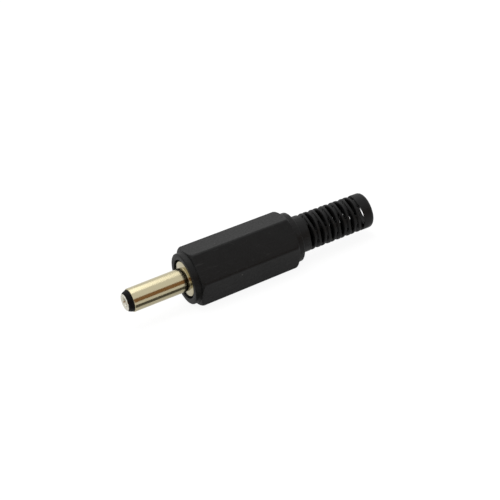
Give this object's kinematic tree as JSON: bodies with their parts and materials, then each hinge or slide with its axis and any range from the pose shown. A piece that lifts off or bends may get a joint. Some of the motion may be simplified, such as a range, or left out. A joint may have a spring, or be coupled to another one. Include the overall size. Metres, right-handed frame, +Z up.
{
  "type": "dc barrel plug",
  "caption": "Straight DC power plug for a soldered lead: nickel-plated barrel, hexagonal screw-on handle and slotted flexible boot.",
  "frame": {"origin": "on the plug's axis, in the front face of the flange that the barrel stands on", "axes": "-X along the axis and out of the barrel's tip, +X towards the boot, +Z up from the flat that the plug lies on"},
  "size_m": [0.0393, 0.009, 0.008],
  "materials": {
    "black_moulding": "satin moulded plastic with a fine grain",
    "nickel_plated_brass": "bright nickel plating",
    "black_insulator": "smooth moulded plastic",
    "nickel_plated_contact": "bright nickel plating",
    "tinned_brass_sheet": "dull tin plating",
    "laminate_washer": "paper laminate"
  },
  "bodies": {
    "contacts": {"outer_contact": "nickel_plated_brass", "insulator": "black_insulator", "centre_contact": "nickel_plated_contact", "outer_lug": "tinned_brass_sheet", "insulating_washer": "laminate_washer", "centre_lug": "tinned_brass_sheet"},
    "handle": {"handle": "black_moulding"}
  },
  "joints": [
    {"name": "handle_draw_off", "type": "slide", "parent": "contacts", "child": "handle", "axis": [1, 0, 0], "range_m": [0, 0.016]}
  ]
}
